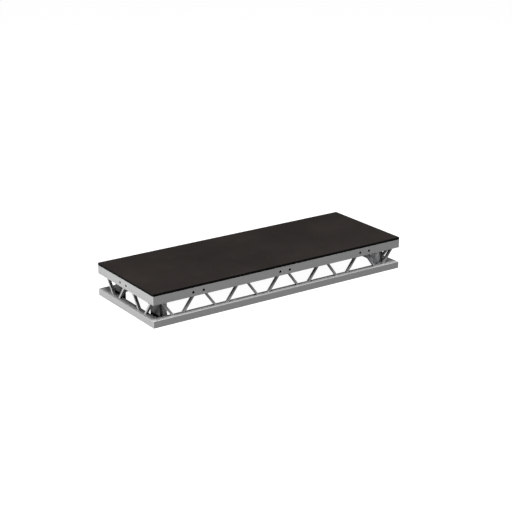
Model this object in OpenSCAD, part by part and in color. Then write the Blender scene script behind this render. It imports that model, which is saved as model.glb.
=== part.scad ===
// Stage riser platform: a plywood panel on a welded aluminium frame that is as deep
// as a small truss, with a round leg socket and a clamp screw inside each corner.
// X runs along the long side, Y across, Z up. The origin is under the middle of the
// frame, on the plane that the lower rails rest on. "front" is the -Y long side.

/* [Platform] */
// Length of the platform along X
deck_l = 2440; // [2200:10:2440]
// Width of the platform along Y
deck_w = 884; // [860:2:1000]
// Thickness of the plywood panel
panel_t = 20; // [15:1:24]
// Radius of the panel's upright corner edges
panel_r = 3; // [1:1:6]

/* [Rails] */
// Height of the lower rails
lower_h = 57; // [50:1:65]
// Clear height between the lower and the upper rails
gap_h = 130; // [125:1:140]
// Height of the upper rails
upper_h = 73; // [70:1:85]
// Width of every rail
rail_w = 65; // [63:1:70]
// Wall thickness of the rails
rail_wall = 3; // [2.5:0.5:4]
// Radius of the rails' long edges
rail_edge_r = 2; // [1:0.5:2.5]

/* [Braces] */
// Width of a brace bar, seen from the side
bar_w = 16; // [14:1:20]
// Depth of a brace bar, across the rail
bar_d = 24; // [18:1:30]
// Distance from the rail's outer face to the bars
bar_in = 27; // [20:1:32]
// Wall thickness of a brace bar
bar_wall = 2; // [1.5:0.5:3]
// How far the top of a bar stands out from its foot
bar_lean = 99; // [90:1:104]
// Brace pairs on a long side
long_pairs = 6; // [4:1:6]
// Distance between brace pairs on a long side
long_pitch = 401; // [398:1:402]
// Half the distance between the two bars of a long side pair, at mid height
long_half = 104; // [100:1:106]
// The same in the pairs next to the corners, which are closer
end_half = 95; // [90:1:98]
// Brace pairs on a short side
short_pairs = 2; // [1:1:2]
// Distance between brace pairs on a short side
short_pitch = 412; // [408:1:414]
// Half the distance between the two bars of a short side pair, at mid height
short_half = 100; // [96:1:102]
// How far the braces of a long side are moved to its right, seen from outside
long_shift = 22; // [0:1:24]
// The same on a short side
short_shift = 3; // [0:1:6]

/* [Bolt holes] */
// Diameter of the holes that bolt platforms together
link_d = 22; // [18:0.5:24]
// Distance between the two holes of a pair
link_gap = 95; // [90:1:100]
// Height of the holes above the upper rail's underside
link_up = 34.5; // [30:0.5:40]
// Distance between the hole pairs on a long side
link_pitch = 826; // [780:1:840]
// X of the middle hole pair on the long sides
link_x = 14; // [0:1:20]
// Y of the hole pair on the short sides
link_y = 27; // [0:1:30]
// Outside diameter of the sleeve welded into each hole
sleeve_d = 30; // [28:1:34]

/* [Corner frames] */
// Distance from the platform's end to the cross beam
beam_in = 107; // [100:1:112]
// Thickness of the cross beams and of the haunches under them
beam_t = 14; // [12:1:18]
// How far in from the long outer face a haunch starts
haunch_in = 89; // [84:1:94]
// How far in the upright edge of its lower half is
haunch_foot = 233; // [225:1:240]
// Height at which it reaches its full width
haunch_z = 105; // [100:1:112]
// Radius of its hollow corner there
haunch_r = 50; // [40:1:55]

/* [Leg sockets] */
// Distance from the long outer face to a leg socket's axis
socket_in = 112; // [108:1:116]
// Outside diameter of a leg socket
socket_d = 60; // [58:1:66]
// Bore of a leg socket, for a 48.3 mm tube leg
socket_bore_d = 49.2; // [49:0.1:50]
// Length of a leg socket
socket_l = 250; // [200:5:250]
// Thickness of the round stop that closes a socket's top
stop_t = 6; // [4:1:8]
// Height of the clamp screw's axis
clamp_z = 172; // [145:1:180]
// Width of the packers between a socket and the rails
packer_w = 40; // [30:1:44]

/* [Clamp screws] */
// Thread diameter
screw_d = 16; // [14:1:16]
// Radial gap between thread and boss
screw_gap = 0.05; // [0.02:0.01:0.1]
// Outside diameter of the welded boss
boss_d = 32; // [28:1:34]
// Distance from the socket's axis to the boss's outer end
boss_out = 52; // [48:1:56]
// Diameter of the clamp pad
pad_d = 15; // [14:0.5:15.5]
// Thickness of the clamp pad
pad_t = 4; // [3.5:0.1:4.4]
// Gap between the open pad's face and the socket's bore
pad_gap = 0.5; // [0.3:0.1:0.6]
// Diameter of the hub on the screw's outer end
hub_d = 24; // [20:1:26]
// Length of that hub
hub_l = 16; // [14:1:20]
// Distance from the socket's axis to the hub's outer end
hub_out = 92; // [86:1:100]
// Diameter of the cross bar that turns the screw
tommy_d = 8; // [6:1:9]
// Length of the cross bar
tommy_l = 62; // [50:1:64]
// Diameter of the ball on each end of the cross bar
ball_d = 12; // [10:1:14]

/* [Joists and panel screws] */
// Height of the joists under the panel
joist_h = 60; // [50:1:70]
// Width of the joists
joist_w = 40; // [35:1:50]
// Number of joists
joists = 3; // [1:1:3]
// Distance between joists
joist_pitch = 560; // [500:10:560]
// Shank diameter of the panel screws
panel_screw_d = 5; // [4:0.5:6]
// Head diameter of the panel screws
panel_head_d = 11; // [10:0.5:12]
// Number of panel screws along a long side
long_screws = 8; // [5:1:8]
// Number of panel screws along a short side and along a joist
short_screws = 3; // [2:1:3]
// Diameter of the drain holes in the lower end rails
drain_d = 12; // [10:1:13]

/* [Hidden] */
$fn = 64;
// Gap between a socket tube and the haunch plate beside it
slack = 0.3;
// Gap round a fixed piece that fits into another
skin = 0.05;
// How far a cutting shape runs past what it cuts
over = 1;
// Heights
upper_z = lower_h + gap_h;
panel_z = upper_z + upper_h;
link_z = upper_z + link_up;
// Braces
lean_angle = atan2(gap_h, bar_lean);
bar_flat = bar_w / sin(lean_angle);
wall_flat = bar_wall / sin(lean_angle);
// Cross beams and leg sockets
beam_h = upper_h;
beam_span = deck_w - 2 * rail_w;
beam_x = deck_l / 2 - beam_in - beam_t / 2;
socket_x = deck_l / 2 - beam_in - beam_t - socket_d / 2 - slack;
socket_y = deck_w / 2 - socket_in;
packer_end = 6;
// Clamp screws: the turned nose behind the pad, and where each stretch starts
nose_d = 10;
nose_l = 3.5;
pad_face = socket_bore_d / 2 + pad_gap;
pad_hole_d = pad_d + 1;
nose_start = pad_face + pad_t;
screw_start = nose_start + nose_l;
tommy_out = hub_out - hub_l / 2;
// Panel screws
head_h = 3;
screw_reach = 26;
long_screw_end = 100;
long_screw_pitch = (deck_l - 2 * long_screw_end) / (long_screws - 1);
short_screw_pitch = 220;
long_screw_x = [for (k = [0:long_screws - 1]) (k - (long_screws - 1) / 2) * long_screw_pitch];
short_screw_y = [for (k = [0:short_screws - 1]) (k - (short_screws - 1) / 2) * short_screw_pitch];
joist_x = [for (i = [0:joists - 1]) (i - (joists - 1) / 2) * joist_pitch];
// Bolt holes and drain holes
long_links = [for (i = [-1:1]) link_x + i * link_pitch];
short_links = [-link_y];
drain_in = 53;
drain_y = deck_w / 2 - 82;

// Places. Each side's own frame has x to the right and y inwards, seen from outside.
module front_side() {
    translate([0, -deck_w / 2, 0]) children();
}
module back_side() {
    mirror([0, 1, 0]) front_side() children();
}
module left_side() {
    translate([-deck_l / 2, 0, 0]) rotate([0, 0, -90]) children();
}
module right_side() {
    mirror([1, 0, 0]) left_side() children();
}
// A corner's own frame has its origin on the leg socket's axis, x inwards along the
// platform and y towards the long side's outer face.
module corner(side_x, side_y) {
    mirror([side_x > 0 ? 1 : 0, 0, 0]) mirror([0, side_y < 0 ? 1 : 0, 0])
        translate([-socket_x, socket_y, 0]) children();
}

// Outlines
module soft_rectangle(w, h, r) {
    translate([r, 0]) square([w - 2 * r, h]);
    translate([0, r]) square([w, h - 2 * r]);
    for (x = [r, w - r], y = [r, h - r]) translate([x, y]) circle(r = r, $fn = 32);
}
// Four corners of a bar that leans out by bar_lean as it rises from z0 to z1
function bar_x(z) = bar_lean * (z - lower_h - gap_h / 2) / gap_h;
module bar_outline(half, margin, z0, z1) {
    polygon([
        [half + bar_x(z0) - bar_flat / 2 + margin, z0],
        [half + bar_x(z0) + bar_flat / 2 - margin, z0],
        [half + bar_x(z1) + bar_flat / 2 - margin, z1],
        [half + bar_x(z1) - bar_flat / 2 + margin, z1]
    ]);
}

// Rails: a hollow section with mitred ends
module rail(length, height) {
    intersection() {
        rotate([90, 0, 90]) translate([0, 0, -length / 2]) linear_extrude(length)
            difference() {
                soft_rectangle(rail_w, height, rail_edge_r);
                translate([rail_wall, rail_wall])
                    square([rail_w - 2 * rail_wall, height - 2 * rail_wall]);
            }
        linear_extrude(height) polygon([
            [-length / 2, 0], [length / 2, 0],
            [length / 2 - rail_w, rail_w], [-length / 2 + rail_w, rail_w]
        ]);
    }
}
module link_holes(centres, d) {
    for (c = centres, s = [-1, 1])
        translate([c + s * link_gap / 2, -over, link_z]) rotate([-90, 0, 0])
            cylinder(d = d, h = rail_w + 2 * over);
}
module upper_rail(length, centres, screw_x) {
    color("silver") difference() {
        translate([0, 0, upper_z]) rail(length, upper_h);
        link_holes(centres, sleeve_d);
        for (x = screw_x) translate([x, rail_w / 2, 0]) screw_hole();
    }
}
module lower_rail(length, drain_x) {
    color("silver") difference() {
        rail(length, lower_h);
        for (x = drain_x) translate([x, drain_in, lower_h / 2]) cylinder(d = drain_d, h = lower_h);
    }
}
module link_sleeves(centres) {
    color("gainsboro") for (c = centres, s = [-1, 1])
        translate([c + s * link_gap / 2, 0, link_z]) rotate([-90, 0, 0]) difference() {
            cylinder(d = sleeve_d - 2 * skin, h = rail_w);
            translate([0, 0, -over]) cylinder(d = link_d, h = rail_w + 2 * over);
        }
}

// Braces: one pair of bars that stands like a V
module braces(x, half) {
    color("lightgray")
        translate([x, bar_in + bar_d, 0])
            for (s = [0, 1]) mirror([s, 0, 0]) rotate([90, 0, 0]) difference() {
                linear_extrude(bar_d) bar_outline(half, 0, lower_h, upper_z);
                translate([0, 0, bar_wall]) linear_extrude(bar_d - 2 * bar_wall)
                    bar_outline(half, wall_flat, lower_h - over, upper_z + over);
            }
}
module long_braces(index) {
    half = index == 1 || index == long_pairs ? end_half : long_half;
    braces(long_shift + long_pitch * (index - (long_pairs + 1) / 2), half);
}
module short_braces(index) {
    braces(short_shift + short_pitch * (index - (short_pairs + 1) / 2), short_half);
}

// Cross beams and the haunches under their ends
module cross_beam(side) {
    color("silver") mirror([side > 0 ? 1 : 0, 0, 0])
        translate([-beam_x - beam_t / 2, beam_span / 2, upper_z]) rotate([90, 0, 0])
            linear_extrude(beam_span) difference() {
                soft_rectangle(beam_t, beam_h, rail_edge_r);
                translate([rail_wall, rail_wall])
                    square([beam_t - 2 * rail_wall, beam_h - 2 * rail_wall]);
            }
}
// The haunch is a plate that hangs from the beam and is cut back below haunch_z.
module haunch(side_x, side_y) {
    full = haunch_foot - haunch_in + haunch_r;
    color("darkgray") mirror([side_x > 0 ? 1 : 0, 0, 0]) mirror([0, side_y < 0 ? 1 : 0, 0])
        translate([-beam_x - beam_t / 2, deck_w / 2 - haunch_in, 0]) rotate([90, 0, 90])
            linear_extrude(beam_t) mirror([1, 0]) difference() {
                square([full, upper_z]);
                translate([full, haunch_z - haunch_r]) circle(r = haunch_r, $fn = 96);
                translate([full - haunch_r, -over]) square([haunch_r + over, haunch_z - haunch_r + over]);
            }
}
module joist_set() {
    color("silver") for (x = joist_x)
        translate([x - joist_w / 2, 0, panel_z - joist_h])
            difference() {
                translate([0, beam_span / 2, 0]) rotate([90, 0, 0]) linear_extrude(beam_span)
                    difference() {
                        soft_rectangle(joist_w, joist_h, rail_edge_r);
                        translate([rail_wall, rail_wall])
                            square([joist_w - 2 * rail_wall, joist_h - 2 * rail_wall]);
                    }
                for (y = short_screw_y)
                    translate([joist_w / 2, y, joist_h / 2])
                        cylinder(d = panel_screw_d + 2 * skin, h = joist_h);
            }
}

// Leg sockets and their clamps, in the corner's frame
module socket_tube() {
    color("lightsteelblue") difference() {
        cylinder(d = socket_d, h = socket_l, $fn = 96);
        translate([0, 0, -over]) cylinder(d = socket_bore_d, h = socket_l + 2 * over, $fn = 96);
        translate([0, 0, clamp_z]) rotate([0, 90, 0]) cylinder(d = pad_hole_d, h = socket_d);
    }
}
module clamp_boss() {
    color("gray") difference() {
        translate([socket_d / 2 - 4, 0, clamp_z]) rotate([0, 90, 0])
            cylinder(d = boss_d, h = boss_out - socket_d / 2 + 4);
        cylinder(d = socket_d + 2 * skin, h = socket_l, $fn = 96);
        translate([0, 0, clamp_z]) rotate([0, 90, 0])
            cylinder(d = screw_d + 2 * screw_gap, h = boss_out + over);
    }
}
module clamp_pad() {
    color("goldenrod") translate([pad_face, 0, clamp_z]) rotate([0, 90, 0])
        cylinder(d = pad_d, h = pad_t);
}
module clamp_screw() {
    color("dimgray") difference() {
        translate([0, 0, clamp_z]) rotate([0, 90, 0]) {
            translate([0, 0, nose_start]) cylinder(d = nose_d, h = nose_l);
            translate([0, 0, screw_start]) cylinder(d = screw_d, h = hub_out - hub_l - screw_start);
            translate([0, 0, hub_out - hub_l]) cylinder(d = hub_d, h = hub_l);
        }
        translate([tommy_out, hub_d, clamp_z]) rotate([90, 0, 0])
            cylinder(d = tommy_d + 2 * skin, h = 2 * hub_d);
    }
}
module tommy_bar() {
    color("dimgray") translate([tommy_out, 0, clamp_z]) {
        rotate([90, 0, 0]) cylinder(d = tommy_d, h = tommy_l - ball_d, center = true);
        for (s = [-1, 1]) translate([0, s * (tommy_l - ball_d) / 2, 0]) sphere(d = ball_d, $fn = 48);
    }
}
module leg_stop_set() {
    color("gray") for (sx = [-1, 1], sy = [-1, 1]) corner(sx, sy)
        translate([0, 0, socket_l]) cylinder(d = socket_d, h = stop_t, $fn = 96);
}

// Packers between the sockets and the two rails beside them
module socket_packer(z0, z1) {
    reach = socket_in - rail_w;
    difference() {
        translate([-packer_w / 2, 0, z0]) cube([packer_w, reach, z1 - z0]);
        translate([0, 0, z0 - over])
            cylinder(d = socket_d + 2 * skin, h = z1 - z0 + 2 * over, $fn = 96);
    }
}
module socket_packers() {
    color("darkgray") for (sx = [-1, 1], sy = [-1, 1]) corner(sx, sy) {
        socket_packer(packer_end, lower_h - packer_end);
        socket_packer(upper_z + packer_end, socket_l);
    }
}

// Panel and its countersunk screws
module screw_hole() {
    translate([0, 0, panel_z + panel_t - screw_reach - over])
        cylinder(d = panel_screw_d + 2 * skin, h = screw_reach);
}
module screw_form(grow) {
    translate([0, 0, panel_z + panel_t - screw_reach])
        cylinder(d = panel_screw_d + grow, h = screw_reach - head_h / 2);
    translate([0, 0, panel_z + panel_t - head_h])
        cylinder(d1 = panel_screw_d + grow, d2 = panel_head_d + grow, h = head_h);
}
module at_screws() {
    for (x = long_screw_x, s = [-1, 1]) translate([x, s * (deck_w - rail_w) / 2, 0]) children();
    for (y = short_screw_y, s = [-1, 1]) translate([s * (deck_l - rail_w) / 2, y, 0]) children();
    for (x = joist_x, y = short_screw_y) translate([x, y, 0]) children();
}
module deck_panel() {
    color("#3a3432") difference() {
        translate([-deck_l / 2, -deck_w / 2, panel_z]) linear_extrude(panel_t)
            soft_rectangle(deck_l, deck_w, panel_r);
        at_screws() screw_form(2 * skin);
    }
}
module panel_screws() {
    color("#222222") at_screws() screw_form(0);
}

deck_panel();
panel_screws();
front_side() upper_rail(deck_l, long_links, long_screw_x);  // upper_rail_front
back_side() upper_rail(deck_l, long_links, long_screw_x);  // upper_rail_back
left_side() upper_rail(deck_w, short_links, short_screw_y);  // upper_rail_left
right_side() upper_rail(deck_w, short_links, short_screw_y);  // upper_rail_right
front_side() lower_rail(deck_l, []);  // lower_rail_front
back_side() lower_rail(deck_l, []);  // lower_rail_back
left_side() lower_rail(deck_w, [-drain_y, drain_y]);  // lower_rail_left
right_side() lower_rail(deck_w, [-drain_y, drain_y]);  // lower_rail_right
front_side() link_sleeves(long_links);  // link_sleeves_front
back_side() link_sleeves(long_links);  // link_sleeves_back
left_side() link_sleeves(short_links);  // link_sleeves_left
right_side() link_sleeves(short_links);  // link_sleeves_right
front_side() long_braces(1);  // front_braces_1
front_side() long_braces(2);  // front_braces_2
front_side() long_braces(3);  // front_braces_3
front_side() long_braces(4);  // front_braces_4
front_side() long_braces(5);  // front_braces_5
front_side() long_braces(6);  // front_braces_6
back_side() long_braces(1);  // back_braces_1
back_side() long_braces(2);  // back_braces_2
back_side() long_braces(3);  // back_braces_3
back_side() long_braces(4);  // back_braces_4
back_side() long_braces(5);  // back_braces_5
back_side() long_braces(6);  // back_braces_6
left_side() short_braces(1);  // left_braces_1
left_side() short_braces(2);  // left_braces_2
right_side() short_braces(1);  // right_braces_1
right_side() short_braces(2);  // right_braces_2
cross_beam(-1);  // cross_beam_left
cross_beam(1);  // cross_beam_right
joist_set();  // joists
haunch(-1, -1);  // haunch_front_left
haunch(1, -1);  // haunch_front_right
haunch(-1, 1);  // haunch_back_left
haunch(1, 1);  // haunch_back_right
corner(-1, -1) socket_tube();  // socket_front_left
corner(1, -1) socket_tube();  // socket_front_right
corner(-1, 1) socket_tube();  // socket_back_left
corner(1, 1) socket_tube();  // socket_back_right
corner(-1, -1) clamp_boss();  // boss_front_left
corner(1, -1) clamp_boss();  // boss_front_right
corner(-1, 1) clamp_boss();  // boss_back_left
corner(1, 1) clamp_boss();  // boss_back_right
leg_stop_set();  // leg_stops
socket_packers();
corner(-1, -1) clamp_pad();  // pad_front_left
corner(1, -1) clamp_pad();  // pad_front_right
corner(-1, 1) clamp_pad();  // pad_back_left
corner(1, 1) clamp_pad();  // pad_back_right
corner(-1, -1) clamp_screw();  // screw_front_left
corner(1, -1) clamp_screw();  // screw_front_right
corner(-1, 1) clamp_screw();  // screw_back_left
corner(1, 1) clamp_screw();  // screw_back_right
corner(-1, -1) tommy_bar();  // tommy_front_left
corner(1, -1) tommy_bar();  // tommy_front_right
corner(-1, 1) tommy_bar();  // tommy_back_left
corner(1, 1) tommy_bar();  // tommy_back_right
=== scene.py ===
# %% [markdown]
# # A stage riser platform
#
# The object is a plywood deck on a welded aluminium frame. Two rings of hollow rail,
# one above the other, are held apart by small braces that stand like Vs. Inside each
# corner hangs a plate with a round leg socket and a clamp screw.
#
# The solid model of the whole platform is loaded first and is never moved. This script
# gives each of its parts a finish, and adds what a plain solid doesn't have: weld beads,
# screw threads and screw drives.

# %% Load the solid model
import math

import bmesh
import bpy
from mathutils import Matrix, Vector


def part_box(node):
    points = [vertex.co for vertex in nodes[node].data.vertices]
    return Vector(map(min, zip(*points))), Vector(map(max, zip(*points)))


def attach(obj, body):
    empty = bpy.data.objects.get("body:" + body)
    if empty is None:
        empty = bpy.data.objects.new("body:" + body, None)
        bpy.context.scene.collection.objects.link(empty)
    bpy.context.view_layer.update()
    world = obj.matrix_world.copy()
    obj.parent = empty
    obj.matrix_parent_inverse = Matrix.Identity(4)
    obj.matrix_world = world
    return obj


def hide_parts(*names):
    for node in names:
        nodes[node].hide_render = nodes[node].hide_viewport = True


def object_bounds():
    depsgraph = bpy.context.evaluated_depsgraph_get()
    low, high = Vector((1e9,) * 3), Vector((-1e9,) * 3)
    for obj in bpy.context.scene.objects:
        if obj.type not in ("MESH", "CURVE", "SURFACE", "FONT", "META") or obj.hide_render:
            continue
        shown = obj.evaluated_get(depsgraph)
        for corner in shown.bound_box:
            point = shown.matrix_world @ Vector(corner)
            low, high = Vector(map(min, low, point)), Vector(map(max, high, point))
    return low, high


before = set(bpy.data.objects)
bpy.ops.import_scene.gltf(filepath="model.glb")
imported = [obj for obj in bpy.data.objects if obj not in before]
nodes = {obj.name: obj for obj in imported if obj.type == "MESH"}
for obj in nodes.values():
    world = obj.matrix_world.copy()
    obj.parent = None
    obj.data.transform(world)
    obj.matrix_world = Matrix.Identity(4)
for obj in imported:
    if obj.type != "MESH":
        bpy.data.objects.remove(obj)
cad_low, cad_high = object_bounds()
MM = 0.001
CORNERS = ("front_left", "front_right", "back_left", "back_right")
SIDES = ("front", "back", "left", "right")
print("parts:", len(nodes), "size in mm:", [round(v / MM) for v in cad_high - cad_low])

# %% [markdown]
# ## Camera
#
# A long lens from a little above the deck, looking along the length from the near
# corner. A long lens keeps the far end from shrinking much, as a catalogue picture does.

# %% Camera
camera_data = bpy.data.cameras.new("camera")
camera_data.lens = 92.79
camera_data.sensor_width = 36
camera_data.clip_end = 200
camera = bpy.data.objects.new("camera", camera_data)
bpy.context.scene.collection.objects.link(camera)
camera.location = (-5.8745, -8.5917, 3.8548)
looking = Vector((0.5349, 0.7780, -0.3295))
camera.rotation_euler = looking.to_track_quat("-Z", "Y").to_euler()
bpy.context.scene.camera = camera
bpy.context.scene.view_settings.view_transform = "Standard"
print("camera is", round((camera.location - Vector((0, 0, 0.14))).length, 2), "m away")

# %% [markdown]
# ## Node helpers
#
# Every finish below is a chain of texture nodes. Short functions each add one step of such
# a chain, set its plain values and join its inputs, so that a finish reads from top to
# bottom. All patterns are placed by the Object coordinates, which stay with the part.

# %% Helpers that add one node
def add_node(tree, kind, *links, **values):
    made = tree.nodes.new(kind)
    for name, value in values.items():
        setattr(made, name, value)
    for socket, source in links:
        target = made.inputs[socket]
        if hasattr(source, "is_output"):
            tree.links.new(source, target)
        else:
            target.default_value = source
    return made


def new_finish(name, **sockets):
    finish = bpy.data.materials.new(name)
    finish.use_nodes = True
    tree = finish.node_tree
    shader = tree.nodes["Principled BSDF"]
    for socket, value in sockets.items():
        shader.inputs[socket.replace("_", " ")].default_value = value
    place = add_node(tree, "ShaderNodeTexCoord").outputs["Object"]
    return finish, tree, shader, place


def noise(tree, place, scale, detail=3.0, stretch=(1, 1, 1)):
    grain = add_node(tree, "ShaderNodeMapping", ("Vector", place), ("Scale", stretch))
    cloud = add_node(tree, "ShaderNodeTexNoise", ("Vector", grain.outputs[0]),
                     ("Scale", scale), ("Detail", detail))
    return cloud.outputs["Fac"]


def spread(tree, value, low, high, start=0.3, end=0.7):
    scaled = add_node(tree, "ShaderNodeMapRange", ("Value", value), ("From Min", start),
                      ("From Max", end), ("To Min", low), ("To Max", high))
    return scaled.outputs["Result"]


def maths(tree, operation, a, b=0.0):
    return add_node(tree, "ShaderNodeMath", (0, a), (1, b), operation=operation).outputs[0]


def split_axes(tree, vector):
    return add_node(tree, "ShaderNodeSeparateXYZ", ("Vector", vector)).outputs


def mix_colour(tree, share, a, b):
    made = add_node(tree, "ShaderNodeMix", (0, share), (6, a), (7, b), data_type="RGBA")
    return made.outputs[2]


def bumps(tree, shader, height, distance, strength=1.0):
    made = add_node(tree, "ShaderNodeBump", ("Height", height), ("Distance", distance),
                    ("Strength", strength))
    tree.links.new(made.outputs["Normal"], shader.inputs["Normal"])


print("helpers ready")

# %% [markdown]
# ## Mill-finish aluminium rails
#
# An extruded rail keeps faint straight lines along its length, where the die dragged, and
# a thin cloudy oxide. So the grain is a noise stretched almost flat along the rail: a few
# waves in each metre one way, hundreds the other way. Where two rails meet, the weld has
# been ground flush, which leaves a narrow matt band along the mitre. The band is found
# from the distance to the two outer faces, which is the same on the mitre line.

# %% Rail finish
HALF_L = cad_high.x
HALF_W = cad_high.y


def mitre_band(tree, place, half_width):
    at = split_axes(tree, place)
    from_end = maths(tree, "SUBTRACT", HALF_L, maths(tree, "ABSOLUTE", at["X"]))
    from_side = maths(tree, "SUBTRACT", HALF_W, maths(tree, "ABSOLUTE", at["Y"]))
    apart = maths(tree, "ABSOLUTE", maths(tree, "SUBTRACT", from_end, from_side))
    return spread(tree, apart, 1.0, 0.0, half_width * 0.6, half_width)


def rail_finish(name, stretch, base, banded=True):
    finish, tree, shader, place = new_finish(name, Metallic=0.5, IOR=1.45)
    lines = noise(tree, place, 1.0, 4.0, stretch)
    cloud = noise(tree, place, 9.0, 5.0)
    handling = noise(tree, place, 55.0, 6.0)
    tone = spread(tree, lines, 0.86, 1.1)
    tone = maths(tree, "MULTIPLY", tone, spread(tree, cloud, 0.9, 1.08))
    dark = tuple(v * 0.82 for v in base) + (1,)
    light = tuple(v * 1.1 for v in base) + (1,)
    colour = mix_colour(tree, maths(tree, "MULTIPLY", tone, 0.5), dark, light)
    rough = spread(tree, lines, 0.40, 0.54)
    rough = maths(tree, "ADD", rough, spread(tree, handling, -0.03, 0.06))
    height = lines
    if banded:
        band = mitre_band(tree, place, 9 * MM)
        dressed = noise(tree, place, 420.0, 2.0)
        colour = mix_colour(tree, maths(tree, "MULTIPLY", band, 0.35), colour,
                            tuple(v * 1.25 for v in base) + (1,))
        rough = maths(tree, "ADD", rough, maths(tree, "MULTIPLY", band, 0.12))
        height = maths(tree, "ADD", height, maths(tree, "MULTIPLY", dressed, band))
    tree.links.new(colour, shader.inputs["Base Color"])
    tree.links.new(rough, shader.inputs["Roughness"])
    bumps(tree, shader, height, 0.05 * MM, 0.6)
    return finish


ALUMINIUM = (0.28, 0.281, 0.282)
rail_along_x = rail_finish("rail_along_x", (2, 420, 420), ALUMINIUM)
rail_along_y = rail_finish("rail_along_y", (420, 2, 420), ALUMINIUM)
joist_metal = rail_finish("joist_metal", (420, 2, 420), ALUMINIUM, banded=False)
print("rail finishes: 3")

# %% [markdown]
# ## Brace tube
#
# The braces are the same metal, drawn thinner and a little brighter. The last centimetre
# at each end of a brace is a darker grey. It could be a band on each end of each bar, but
# all the bars end at the same two heights, so one distance from the middle height serves
# them all, and a noise makes its edge uneven.

# %% Brace finish
GAP_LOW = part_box("lower_rail_front")[1].z
GAP_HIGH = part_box("upper_rail_front")[0].z
END_DARK_LENGTH = 14 * MM


def two_tone(tree, pattern, dark, light):
    """A colour that wanders between two tones, as a pattern rises and falls."""
    return mix_colour(tree, spread(tree, pattern, 0.0, 1.0), dark + (1,), light + (1,))


def brace_finish():
    finish, tree, shader, place = new_finish("brace_metal", Metallic=0.62, IOR=1.45)
    middle = (GAP_LOW + GAP_HIGH) / 2
    half = (GAP_HIGH - GAP_LOW) / 2
    height = split_axes(tree, place)["Z"]
    reach = maths(tree, "ABSOLUTE", maths(tree, "SUBTRACT", height, middle))
    # Both ends of each brace are mixed towards a darker grey.
    darkening_edge = maths(tree, "ADD", reach, spread(tree, noise(tree, place, 90.0), -3 * MM, 3 * MM))
    end_darkening = spread(tree, darkening_edge, 0.0, 0.55, half - END_DARK_LENGTH, half - 2 * MM)
    grain = noise(tree, place, 260.0, 4.0)
    cloud = noise(tree, place, 22.0, 4.0)
    colour = two_tone(tree, cloud, (0.30, 0.302, 0.305), (0.38, 0.382, 0.385))
    colour = mix_colour(tree, end_darkening, colour, (0.20, 0.198, 0.195, 1))
    tree.links.new(colour, shader.inputs["Base Color"])
    tree.links.new(spread(tree, grain, 0.38, 0.52), shader.inputs["Roughness"])
    bumps(tree, shader, grain, 0.04 * MM, 0.5)
    return finish


brace_metal = brace_finish()
print("haze starts", round(((GAP_HIGH - GAP_LOW) / 2 - END_DARK_LENGTH) / MM), "mm from a brace's middle")

# %% [markdown]
# ## Corner plate and socket tube
#
# The corner plates were sawn from rolled sheet, so their grain runs across. The side that
# faces the platform's middle is painted almost white, a painted light in the shade under
# the deck, and the outer side and the sawn edges are painted nearly black, a painted shade.
# Two materials on chosen faces would do, but the sides can be told apart in the finish
# itself: by the way they face, and by the end of the platform that they belong to. Only a
# face that looks squarely at the middle gets the painted light on a plate. The socket tubes
# get the same painted light and shade, with a softer change from light to dark grey and
# with drawing lines that run up them.

# %% Plate and tube finishes
# Almost white tones: painted light on the sides that face the platform's middle.
PAINTED_LIGHT_TONES = ((0.80, 0.83, 0.84), (0.86, 0.89, 0.90))


def facing(tree):
    """The way the surface looks, as three numbers."""
    return split_axes(tree, add_node(tree, "ShaderNodeNewGeometry").outputs["Normal"])


def outwards(tree, place):
    """1 on a surface that faces the platform's nearer end, and -1 on one that faces away."""
    end = maths(tree, "SIGN", split_axes(tree, place)["X"])
    return maths(tree, "MULTIPLY", facing(tree)["X"], end)


def plate_finish():
    finish, tree, shader, place = new_finish("plate_metal", Metallic=0.3, IOR=1.45)
    # Painted shade: every plate face except the one facing the middle is nearly black.
    is_painted_shade = spread(tree, outwards(tree, place), 0.0, 1.0, -0.6, -0.4)
    grain = noise(tree, place, 1.0, 4.0, (300, 6, 300))
    cloud = noise(tree, place, 14.0, 5.0)
    painted_shade_tone = two_tone(tree, cloud, (0.026, 0.026, 0.026), (0.042, 0.042, 0.042))
    colour = mix_colour(tree, is_painted_shade, two_tone(tree, cloud, *PAINTED_LIGHT_TONES), painted_shade_tone)
    tree.links.new(colour, shader.inputs["Base Color"])
    tree.links.new(spread(tree, grain, 0.42, 0.6), shader.inputs["Roughness"])
    bumps(tree, shader, grain, 0.06 * MM, 0.6)
    return finish


def tube_finish():
    finish, tree, shader, place = new_finish("tube_metal", Metallic=0.25, IOR=1.45)
    # Painted light on the tube's side towards the middle, painted shade on its side towards the
    # end.
    is_painted_shade = spread(tree, outwards(tree, place), 0.0, 1.0, -0.25, 0.25)
    lines = noise(tree, place, 1.0, 4.0, (420, 420, 3))
    cloud = noise(tree, place, 16.0, 4.0)
    painted_shade_tone = two_tone(tree, cloud, (0.16, 0.162, 0.164), (0.21, 0.212, 0.214))
    colour = mix_colour(tree, is_painted_shade, two_tone(tree, cloud, *PAINTED_LIGHT_TONES), painted_shade_tone)
    tree.links.new(colour, shader.inputs["Base Color"])
    tree.links.new(spread(tree, lines, 0.36, 0.5), shader.inputs["Roughness"])
    bumps(tree, shader, lines, 0.05 * MM, 0.6)
    return finish


plate_metal = plate_finish()
tube_metal = tube_finish()
print("plate and tube finishes: 2")
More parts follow.
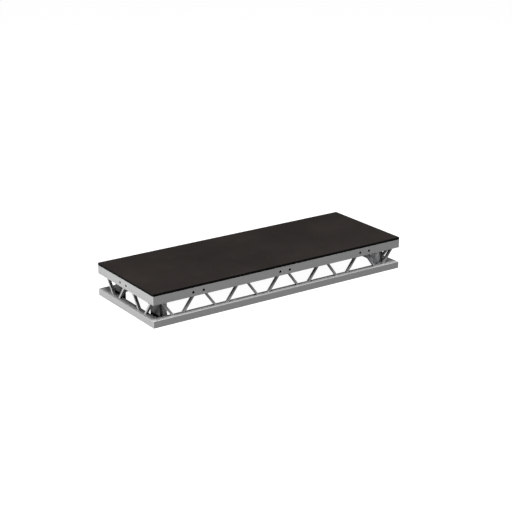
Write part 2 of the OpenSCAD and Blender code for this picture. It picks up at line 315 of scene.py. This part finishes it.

# %% [markdown]
# ## Sleeves in the bolt holes
#
# A sleeve's end ring is dressed flush with the rail and takes the rail's colour. Its bore
# is rough, not metallic and painted nearly black: painted shade inside the hole. The ring
# faces along the sleeve and the bore faces across it, which is how the two are told apart.

# %% Sleeve finish
def sleeve_finish(name, axis):
    finish, tree, shader, place = new_finish(name, IOR=1.45, Specular_IOR_Level=0.25)
    is_end = spread(tree, maths(tree, "ABSOLUTE", facing(tree)[axis]), 0.0, 1.0, 0.4, 0.6)
    grain = noise(tree, place, 300.0, 4.0)
    # Painted shade: the bore's nearly black colour stands in for the shade inside the hole.
    painted_bore_shade = mix_colour(tree, grain, (0.004, 0.004, 0.004, 1), (0.012, 0.012, 0.012, 1))
    clean = mix_colour(tree, grain, tuple(v * 0.9 for v in ALUMINIUM) + (1,),
                       tuple(v * 1.1 for v in ALUMINIUM) + (1,))
    rough = spread(tree, grain, 0.88, 1.0)
    rough = maths(tree, "SUBTRACT", rough, maths(tree, "MULTIPLY", is_end, 0.42))
    tree.links.new(mix_colour(tree, is_end, painted_bore_shade, clean), shader.inputs["Base Color"])
    tree.links.new(maths(tree, "MULTIPLY", is_end, 0.5), shader.inputs["Metallic"])
    tree.links.new(rough, shader.inputs["Roughness"])
    bumps(tree, shader, grain, 0.05 * MM, 0.5)
    return finish


sleeve_along_y = sleeve_finish("sleeve_along_y", "Y")
sleeve_along_x = sleeve_finish("sleeve_along_x", "X")
print("sleeve finishes: 2")

# %% [markdown]
# ## Weld metal, zinc, brass and black screws
#
# A weld bead is brighter than the darker brace end round it, with sooty grooves, and the
# beads inside the corners are painted nearly black, a painted shade for the corners. Zinc
# plating has a faint yellow and blue bloom. The pads are turned brass, and the panel screws
# are black. All of these are small, so one function makes them, with a coarse bloom for
# the colour and a fine grain.

# %% Small metal finishes
def speckled(name, dark, light, metal, rough, scale, depth):
    finish, tree, shader, place = new_finish(name, Metallic=metal, IOR=1.45)
    bloom = noise(tree, place, scale, 4.0)
    grain = noise(tree, place, scale * 9, 3.0)
    tree.links.new(two_tone(tree, bloom, dark, light), shader.inputs["Base Color"])
    tree.links.new(spread(tree, grain, rough - 0.06, rough + 0.08), shader.inputs["Roughness"])
    bumps(tree, shader, grain, depth, 0.5)
    return finish


weld_metal = speckled("weld_metal", (0.12, 0.12, 0.117), (0.34, 0.34, 0.336), metal=0.6,
                      rough=0.40, scale=160.0, depth=0.12 * MM)
# Painted shade: the corner beads are nearly black for the shade inside the corners.
painted_shade_weld = speckled("painted_shade_weld", (0.02, 0.02, 0.0195), (0.07, 0.07, 0.069), metal=0.4,
                     rough=0.55, scale=160.0, depth=0.12 * MM)
zinc_steel = speckled("zinc_steel", (0.42, 0.43, 0.46), (0.60, 0.59, 0.53), metal=0.9,
                      rough=0.32, scale=60.0, depth=0.03 * MM)
pad_brass = speckled("pad_brass", (0.52, 0.36, 0.14), (0.72, 0.54, 0.26), metal=1.0,
                     rough=0.30, scale=140.0, depth=0.03 * MM)
black_screw = speckled("black_screw", (0.008, 0.008, 0.008), (0.02, 0.019, 0.018), metal=0.3,
                       rough=0.45, scale=400.0, depth=0.03 * MM)
print("small finishes: 5")

# %% [markdown]
# ## The deck panel
#
# The panel is birch plywood with a dark brown film. The film's top carries a fine net of
# raised lines, about 5 mm apart, so that shoes grip it. Two wave textures at right angles
# make the net, and it is turned by 45 degrees as it is on the sheet. Its edges are sealed
# with black paint, and the plies only show as slight steps. The three zones are told
# apart by the way the surface faces.

# %% Deck finish
def deck_finish():
    finish, tree, shader, place = new_finish("deck_film", Metallic=0.0, IOR=1.4,
                                             Specular_IOR_Level=0.08)
    upwards = facing(tree)["Z"]
    is_flat = spread(tree, maths(tree, "ABSOLUTE", upwards), 0.0, 1.0, 0.4, 0.6)
    is_top = spread(tree, upwards, 0.0, 1.0, 0.4, 0.6)
    turned = add_node(tree, "ShaderNodeMapping", ("Vector", place),
                      ("Rotation", (0, 0, math.radians(45)))).outputs[0]
    net = []
    for direction in ("X", "Y"):
        wave = add_node(tree, "ShaderNodeTexWave", ("Vector", turned), ("Scale", 63.0),
                        bands_direction=direction)
        net.append(spread(tree, wave.outputs["Fac"], 0.0, 1.0, 0.72, 0.95))
    raised = maths(tree, "MULTIPLY", maths(tree, "MAXIMUM", net[0], net[1]), is_top)
    plies = add_node(tree, "ShaderNodeTexWave", ("Vector", place), ("Scale", 105.0),
                     ("Distortion", 0.6), bands_direction="Z")
    plies = maths(tree, "MULTIPLY", plies.outputs["Fac"], maths(tree, "SUBTRACT", 1.0, is_flat))
    cloud = noise(tree, place, 2.2, 4.0)
    scuffs = spread(tree, noise(tree, place, 7.0, 8.0, (1, 2.4, 1)), 0.0, 1.0, 0.6, 0.75)
    film = two_tone(tree, cloud, (0.0057, 0.0046, 0.0042), (0.0083, 0.0067, 0.0061))
    film = mix_colour(tree, maths(tree, "MULTIPLY", scuffs, 0.10), film, (0.036, 0.033, 0.030, 1))
    colour = mix_colour(tree, is_flat, (0.0012, 0.0011, 0.0011, 1), film)
    rough = spread(tree, cloud, 0.52, 0.6)
    rough = maths(tree, "ADD", rough, maths(tree, "MULTIPLY", scuffs, 0.08))
    tree.links.new(colour, shader.inputs["Base Color"])
    tree.links.new(rough, shader.inputs["Roughness"])
    bumps(tree, shader, maths(tree, "ADD", raised, plies), 0.12 * MM, 0.5)
    return finish


deck_film = deck_finish()

# %% [markdown]
# ## Dress the solid parts
#
# Each part keeps its own mesh and only gets a finish. The part names say which finish
# each one takes, so a list of name beginnings is enough, and the first that fits is taken.

# %% Put the finishes on the parts
FINISHES = (
    ("deck_panel", deck_film), ("panel_screws", black_screw), ("joists", joist_metal),
    ("link_sleeves_front", sleeve_along_y), ("link_sleeves_back", sleeve_along_y),
    ("link_sleeves", sleeve_along_x), ("cross_beam", joist_metal), ("haunch", plate_metal),
    ("socket_packers", joist_metal), ("socket_", tube_metal), ("leg_stops", plate_metal),
    ("boss_", zinc_steel), ("pad_", pad_brass), ("screw_", zinc_steel), ("tommy_", zinc_steel),
    ("upper_rail_left", rail_along_y), ("upper_rail_right", rail_along_y),
    ("lower_rail_left", rail_along_y), ("lower_rail_right", rail_along_y),
    ("upper_rail", rail_along_x), ("lower_rail", rail_along_x),
)


def finish_of(name):
    if "_braces_" in name:
        return brace_metal
    return next(finish for start, finish in FINISHES if name.startswith(start))


for name, part in nodes.items():
    part.data.materials.clear()
    part.data.materials.append(finish_of(name))
print("finished parts:", len(nodes))

# %% [markdown]
# ## Weld beads
#
# A bead is a thin rope of metal with a ripple for each drop of filler. Two tools make all
# of them. Spinning a small circle right round makes a ring, and its four quarters are then
# moved apart, so that the ring fits round a square tube. A thin cylinder that is cut into
# short lengths and turned into place makes a straight bead, with small ends. In both,
# every second section is a little fatter. Each bead is shaped in a mesh of its own, which
# stays small and quick, and is then added to the piece.

# %% Bead tools
MERGE = 0.01 * MM
BEAD = 2.6 * MM
RIPPLE = 1.16
END_SIZE = 0.45
SECTION = 8
RING_STEPS = 44


def finish_mesh(bm, name, finish, body):
    bmesh.ops.remove_doubles(bm, verts=bm.verts, dist=MERGE)
    bmesh.ops.recalc_face_normals(bm, faces=bm.faces)
    for face in bm.faces:
        face.smooth = True
    mesh = bpy.data.meshes.new(name)
    bm.to_mesh(mesh)
    bm.free()
    mesh.materials.append(finish)
    piece = bpy.data.objects.new(name, mesh)
    bpy.context.scene.collection.objects.link(piece)
    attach(piece, body)
    return piece


def add_part(bm, part):
    """Adds a small mesh to a piece's mesh."""
    carrier = bpy.data.meshes.new("carrier")
    part.to_mesh(carrier)
    part.free()
    bm.from_mesh(carrier)
    bpy.data.meshes.remove(carrier)


def add_ring(bm, centre, half_x, half_y):
    reach = 2 * BEAD
    ring = bmesh.new()
    profile = bmesh.ops.create_circle(ring, segments=SECTION, radius=BEAD)["verts"]
    bmesh.ops.rotate(ring, verts=profile, matrix=Matrix.Rotation(math.pi / 2, 3, "X"))
    bmesh.ops.translate(ring, verts=profile, vec=(reach, 0, 0))
    bmesh.ops.spin(ring, geom=ring.verts[:] + ring.edges[:], axis=(0, 0, 1), cent=(0, 0, 0),
                   angle=2 * math.pi, steps=RING_STEPS, use_merge=True)
    for vert in ring.verts:
        turn = math.atan2(vert.co.y, vert.co.x)
        if round(turn / (2 * math.pi) * RING_STEPS) % 2:
            along = Vector((math.cos(turn), math.sin(turn), 0)) * reach
            vert.co = along + (vert.co - along) * RIPPLE
        vert.co.x += math.copysign(half_x - reach, vert.co.x)
        vert.co.y += math.copysign(half_y - reach, vert.co.y)
        vert.co += centre
    add_part(bm, ring)


def add_bead(bm, start, end, radius=BEAD):
    run = end - start
    steps = max(4, round(run.length / (radius * 0.9)))
    bead = bmesh.new()
    bmesh.ops.create_cone(bead, cap_ends=True, segments=SECTION, radius1=radius, radius2=radius,
                          depth=run.length)
    sides = [e for e in bead.edges if abs(e.verts[0].co.z - e.verts[1].co.z) > run.length / 2]
    bmesh.ops.subdivide_edges(bead, edges=sides, cuts=steps - 1, use_grid_fill=True)
    for vert in bead.verts:
        step = round((vert.co.z / run.length + 0.5) * steps)
        fat = RIPPLE if step % 2 else 1.0
        if step in (0, steps):
            fat = END_SIZE
        vert.co.x *= fat
        vert.co.y *= fat
    turn = Vector((0, 0, 1)).rotation_difference(run).to_matrix()
    bmesh.ops.rotate(bead, verts=bead.verts, matrix=turn)
    bmesh.ops.translate(bead, verts=bead.verts, vec=(start + end) / 2)
    add_part(bm, bead)


print("bead radius", BEAD / MM, "mm")

# %% [markdown]
# ## Beads round the braces
#
# Each brace bar is welded all round at its foot and its head. The places come from the
# solid parts themselves: the lowest and the highest points of a brace pair, split into the
# left and the right bar. So the beads stay in place if the solid model is changed.

# %% Brace welds
def bar_ends(part, along):
    low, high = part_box(part.name)
    middle = (low[along] + high[along]) / 2
    for level in (low.z, high.z):
        points = [v.co for v in part.data.vertices if abs(v.co.z - level) < 0.01 * MM]
        for is_far in (False, True):
            bar = [p for p in points if (p[along] > middle) == is_far]
            corner_a = Vector([min(p[i] for p in bar) for i in range(3)])
            corner_b = Vector([max(p[i] for p in bar) for i in range(3)])
            yield (corner_a + corner_b) / 2, (corner_b - corner_a) / 2


RING_GAP = 0.8 * MM
ring_count = 0
for side in SIDES:
    bm = bmesh.new()
    along = 0 if side in ("front", "back") else 1
    for name, part in nodes.items():
        if name.startswith(side + "_braces_"):
            for centre, half in bar_ends(part, along):
                add_ring(bm, centre, half.x + RING_GAP, half.y + RING_GAP)
                ring_count += 1
    finish_mesh(bm, "brace_welds_" + side, weld_metal, "frame")
print("rings round the braces:", ring_count)

# %% [markdown]
# ## Beads on the sockets, plates and beams
#
# The plate stands beside the socket tube, so a bead runs down each side of the line where
# they meet. Short beads hold the packers to the tube and to the rail, and upright ones
# close the inner corners of both rings of rail and the ends of the cross beams.

# %% Socket, beam and corner welds
RAIL_IN = abs(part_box("lower_rail_front")[1].y)
UPPER_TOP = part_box("upper_rail_front")[1].z
END_GAP = 3 * MM
PLATE_BEAD = 3.2 * MM
PLATE_BEAD_FOOT = 12 * MM
PLATE_BEAD_SPOT = 0.36
PACKER_END = 8 * MM
PACKER_HALF = 20 * MM
PACKER_SPOT = 0.66


def corner_signs(corner):
    return Vector((1 if "right" in corner else -1, 1 if "back" in corner else -1, 1))


def upright(bm, x, y, z0, z1, radius=BEAD):
    add_bead(bm, Vector((x, y, z0)), Vector((x, y, z1)), radius)


def socket_beads(bm, corner):
    sign = corner_signs(corner)
    tube_low, tube_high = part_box("socket_" + corner)
    plate_low, plate_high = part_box("haunch_" + corner)
    centre = (tube_low + tube_high) / 2
    radius = (tube_high.x - tube_low.x) / 2
    plate_face = plate_low.x if sign.x > 0 else plate_high.x
    for turn in (-1, 1):
        upright(bm, plate_face - sign.x * MM, centre.y + turn * PLATE_BEAD_SPOT * radius,
                PLATE_BEAD_FOOT, GAP_HIGH - END_GAP, PLATE_BEAD)
    tube_side = centre.y + sign.y * radius * math.sqrt(1 - PACKER_SPOT ** 2)
    upper_end = tube_high.z - 2 * MM
    for z0, z1 in ((PACKER_END, GAP_LOW - PACKER_END), (GAP_HIGH + PACKER_END, upper_end)):
        for turn in (-1, 1):
            upright(bm, centre.x + turn * PACKER_HALF, tube_side, z0, z1)
            upright(bm, centre.x + turn * PACKER_HALF, sign.y * RAIL_IN, z0, z1)


def frame_beads(bm, corner):
    sign = corner_signs(corner)
    rail_face = sign.y * RAIL_IN
    inner_x = sign.x * (HALF_L - (HALF_W - RAIL_IN))
    upright(bm, inner_x, rail_face, END_GAP, GAP_LOW - END_GAP)
    upright(bm, inner_x, rail_face, GAP_HIGH + END_GAP, UPPER_TOP - END_GAP)
    beam = "cross_beam_right" if sign.x > 0 else "cross_beam_left"
    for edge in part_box(beam):
        upright(bm, edge.x, rail_face, GAP_HIGH + END_GAP, UPPER_TOP - END_GAP)


bm = bmesh.new()
for corner in CORNERS:
    socket_beads(bm, corner)
    frame_beads(bm, corner)
# These corner beads take the painted shade weld colour.
finish_mesh(bm, "corner_welds", painted_shade_weld, "frame")
print("inner faces of the long rails at", round(RAIL_IN / MM), "mm from the middle")

# %% [markdown]
# ## Beads on the joists
#
# Each joist is welded to the long rails down both sides of both ends. All the joists are
# one part, so their sides are found as the places where a wide gap begins or ends.

# %% Joist welds
JOIST_GAP = 0.1
joist_points = [v.co for v in nodes["joists"].data.vertices if abs(v.co.y) > RAIL_IN - MM]
levels = sorted({round(p.x, 3) for p in joist_points})
gaps = [pair for pair in zip(levels, levels[1:]) if pair[1] - pair[0] > JOIST_GAP]
joist_sides = [levels[0]] + [x for pair in gaps for x in pair] + [levels[-1]]
joist_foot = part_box("joists")[0].z
bm = bmesh.new()
for x in joist_sides:
    for side in (-1, 1):
        upright(bm, x, side * RAIL_IN, joist_foot + END_GAP, UPPER_TOP - END_GAP)
finish_mesh(bm, "joist_welds", weld_metal, "frame")
print("joist edges welded:", len(joist_sides) * 2)

# %% [markdown]
# ## Clamp screws with a real thread
#
# The solid model's clamp screw is a plain rod, because only its size matters there. Here
# each one is made again with a core, a hub and a helical thread. The thread is a triangle
# that is spun round the core while it is moved along it: the pitch is the 2 mm that the
# pad travels in one turn. Rings side by side would look much the same, but only a helix
# shows the screw being driven as it turns. A groove before the hub lets the thread run
# out, and the hub's outer end is dished.

# %% Threaded clamp screws
PITCH = 2 * MM
THREAD_DEPTH = 0.9 * MM
CREST_R = 8 * MM
NOSE_R = 5 * MM
NOSE_L = 3.5 * MM
NOSE_EDGE = 0.5 * MM
GROOVE_R = 7 * MM
GROOVE_L = 2 * MM
CHAMFER = 1.2 * MM
DISH = 0.8 * MM
TURNED_STEPS = 40
THREAD_STEPS = 28


def add_turned(bm, outline):
    """Spins an outline of (distance along, radius) round the X axis."""
    verts = [bm.verts.new((along, 0, radius)) for along, radius in outline]
    edges = [bm.edges.new(pair) for pair in zip(verts, verts[1:])]
    bmesh.ops.spin(bm, geom=verts + edges, axis=(1, 0, 0), cent=(0, 0, 0),
                   angle=2 * math.pi, steps=TURNED_STEPS, use_merge=True)


def add_thread(bm, start, end, core, crest):
    """Spins a triangle while it moves along X, and returns the number of turns."""
    turns = (end - start) / PITCH
    corners = ((-0.45 * PITCH, core), (0, crest), (0.45 * PITCH, core))
    verts = [bm.verts.new((start + along, 0, radius)) for along, radius in corners]
    face = bm.faces.new(verts)
    bmesh.ops.spin(bm, geom=[face], axis=(1, 0, 0), cent=(0, 0, 0),
                   dvec=(PITCH / THREAD_STEPS, 0, 0), angle=2 * math.pi * turns,
                   steps=round(turns * THREAD_STEPS))
    return turns


def clamp_screw(corner):
    low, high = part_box("screw_" + corner)
    tommy_low, tommy_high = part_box("tommy_" + corner)
    inward = -corner_signs(corner).x
    tip = high.x if inward < 0 else low.x
    length = high.x - low.x
    hub_r = (high.z - low.z) / 2
    hub_length = 2 * (length - abs((tommy_low.x + tommy_high.x) / 2 - tip))
    core = CREST_R - THREAD_DEPTH
    hub = length - hub_length
    outline = [
        (0, 0), (0, NOSE_R - NOSE_EDGE), (NOSE_EDGE, NOSE_R), (NOSE_L, NOSE_R), (NOSE_L, core),
        (hub - GROOVE_L, core), (hub - GROOVE_L, GROOVE_R), (hub, GROOVE_R),
        (hub, hub_r - CHAMFER), (hub + CHAMFER, hub_r), (length - CHAMFER, hub_r),
        (length, hub_r - CHAMFER), (length, hub_r - 5 * MM), (length - DISH, hub_r - 6 * MM),
        (length - DISH, 0),
    ]
    bm = bmesh.new()
    add_turned(bm, outline)
    turns = add_thread(bm, NOSE_L + PITCH, hub - GROOVE_L - MM, core - 0.1 * MM, CREST_R)
    bmesh.ops.scale(bm, verts=bm.verts, vec=(inward, 1, 1))
    bmesh.ops.translate(bm, verts=bm.verts, vec=(tip, (low.y + high.y) / 2, (low.z + high.z) / 2))
    piece = finish_mesh(bm, "threaded_screw_" + corner, zinc_steel, "clamp_screw_" + corner)
    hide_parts("screw_" + corner)
    return turns


for corner in CORNERS:
    print("thread turns on the", corner, "screw:", round(clamp_screw(corner), 1))

# %% [markdown]
# ## Panel screws with a drive
#
# The panel is held down by countersunk screws. Spinning half an outline makes the tip, the
# shank and the cone of the head, and leaves its top open. A six-sided pocket is pulled up
# from a small hexagon, and a bridge of faces joins its rim to the head's rim.

# %% Panel screws
HEAD_R = 5.5 * MM
HEAD_H = 3 * MM
SHANK_R = 2.5 * MM
SHANK = 26 * MM
RECESS_R = 2.3 * MM
RECESS_H = 1.6 * MM
HEAD_STEPS = 24


def screw_places():
    """The middle of each screw head, from the rims of the heads in the solid part."""
    top = cad_high.z
    heads = []
    for point in (v.co for v in nodes["panel_screws"].data.vertices):
        if top - point.z < 0.01 * MM:
            near = next((h for h in heads if (h[0] - point).length < 2.5 * HEAD_R), None)
            if near:
                near.append(point)
            else:
                heads.append([point])
    for head in heads:
        low = Vector([min(p[i] for p in head) for i in range(3)])
        high = Vector([max(p[i] for p in head) for i in range(3)])
        yield (low + high) / 2


def add_panel_screw(bm, place):
    screw = bmesh.new()
    outline = [(0, -SHANK), (SHANK_R, 2 * SHANK_R - SHANK), (SHANK_R, -HEAD_H), (HEAD_R, 0)]
    verts = [screw.verts.new((radius, 0, height)) for radius, height in outline]
    edges = [screw.edges.new(pair) for pair in zip(verts, verts[1:])]
    bmesh.ops.spin(screw, geom=verts + edges, axis=(0, 0, 1), cent=(0, 0, 0),
                   angle=2 * math.pi, steps=HEAD_STEPS, use_merge=True)
    bmesh.ops.remove_doubles(screw, verts=screw.verts, dist=0.001 * MM)
    rim = [e for e in screw.edges if e.is_boundary]
    recess = bmesh.ops.create_circle(screw, segments=6, radius=RECESS_R, cap_ends=True)["verts"]
    bmesh.ops.translate(screw, verts=recess, vec=(0, 0, -RECESS_H))
    floor_edges = list({e for v in recess for e in v.link_edges})
    wall = bmesh.ops.extrude_edge_only(screw, edges=floor_edges)["geom"]
    raised = [g for g in wall if isinstance(g, bmesh.types.BMVert)]
    bmesh.ops.translate(screw, verts=raised, vec=(0, 0, RECESS_H))
    recess_rim = [e for e in screw.edges if all(v in raised for v in e.verts)]
    bmesh.ops.bridge_loops(screw, edges=rim + recess_rim)
    bmesh.ops.translate(screw, verts=screw.verts, vec=place)
    add_part(bm, screw)


bm = bmesh.new()
places = list(screw_places())
for place in places:
    add_panel_screw(bm, place)
screws = finish_mesh(bm, "driven_panel_screws", black_screw, "frame")
for face in screws.data.polygons:
    face.use_smooth = False
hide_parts("panel_screws")
print("panel screws:", len(places))

# %% [markdown]
# ## Floor
#
# The platform stands on a pale studio floor that fades into the background, so the floor
# has a glow of its own. It shows brighter than the light it throws onto the metal, which
# the Light Path node tells apart: a fully white floor would light the long side too much.

# %% Floor
FLOOR_SEEN = 0.97
FLOOR_GLOW = 0.03
FLOOR_HALF = 60
FLOOR_DROP = 0.5 * MM
bm = bmesh.new()
bmesh.ops.create_grid(bm, x_segments=1, y_segments=1, size=FLOOR_HALF)
bmesh.ops.translate(bm, verts=bm.verts, vec=(0, 0, cad_low.z - FLOOR_DROP))
floor_mesh = bpy.data.meshes.new("floor")
bm.to_mesh(floor_mesh)
bm.free()
floor = bpy.data.objects.new("floor", floor_mesh)
bpy.context.scene.collection.objects.link(floor)
floor_finish, tree, shader = new_finish(
    "floor", Roughness=0.9, Specular_IOR_Level=0.0, Base_Color=(0.1, 0.1, 0.1, 1),
    Emission_Color=(1, 1, 1, 1))[:3]
seen = add_node(tree, "ShaderNodeLightPath").outputs["Is Camera Ray"]
glow = spread(tree, seen, FLOOR_GLOW, FLOOR_SEEN, 0.0, 1.0)
tree.links.new(glow, shader.inputs["Emission Strength"])
floor_mesh.materials.append(floor_finish)
print("floor at", round(floor_mesh.vertices[0].co.z, 4))

# %% [markdown]
# ## Light
#
# One large soft lamp hangs over the front, and one stands low to the left, which makes the
# near end much brighter than the long side. A weak one at the right opens the shadow under
# the deck at the far end. They are wide, because small lamps would leave hard lines on the
# rails, and a faint sky fills what they don't reach.

# %% Lights
def soft_lamp(name, place, aim, width, height, power):
    data = bpy.data.lights.new(name, "AREA")
    data.shape = "RECTANGLE"
    data.size = width
    data.size_y = height
    data.energy = power
    lamp = bpy.data.objects.new(name, data)
    bpy.context.scene.collection.objects.link(lamp)
    lamp.location = place
    lamp.rotation_euler = (Vector(aim) - Vector(place)).to_track_quat("-Z", "Y").to_euler()


soft_lamp("top_front", (-1.4, -2.0, 7.0), (0, 0, 0.2), width=5.0, height=2.4, power=1900)
soft_lamp("left", (-6.5, 1.3, 0.9), (0, 0, 0.2), width=4.0, height=1.4, power=660)
soft_lamp("right", (5.5, -0.7, 2.6), (0.9, 0, 0.2), width=2.5, height=1.2, power=260)
world = bpy.data.worlds.new("world")
world.use_nodes = True
sky = world.node_tree.nodes["Background"]
sky.inputs["Color"].default_value = (1, 1, 1, 1)
sky.inputs["Strength"].default_value = 0.08
bpy.context.scene.world = world
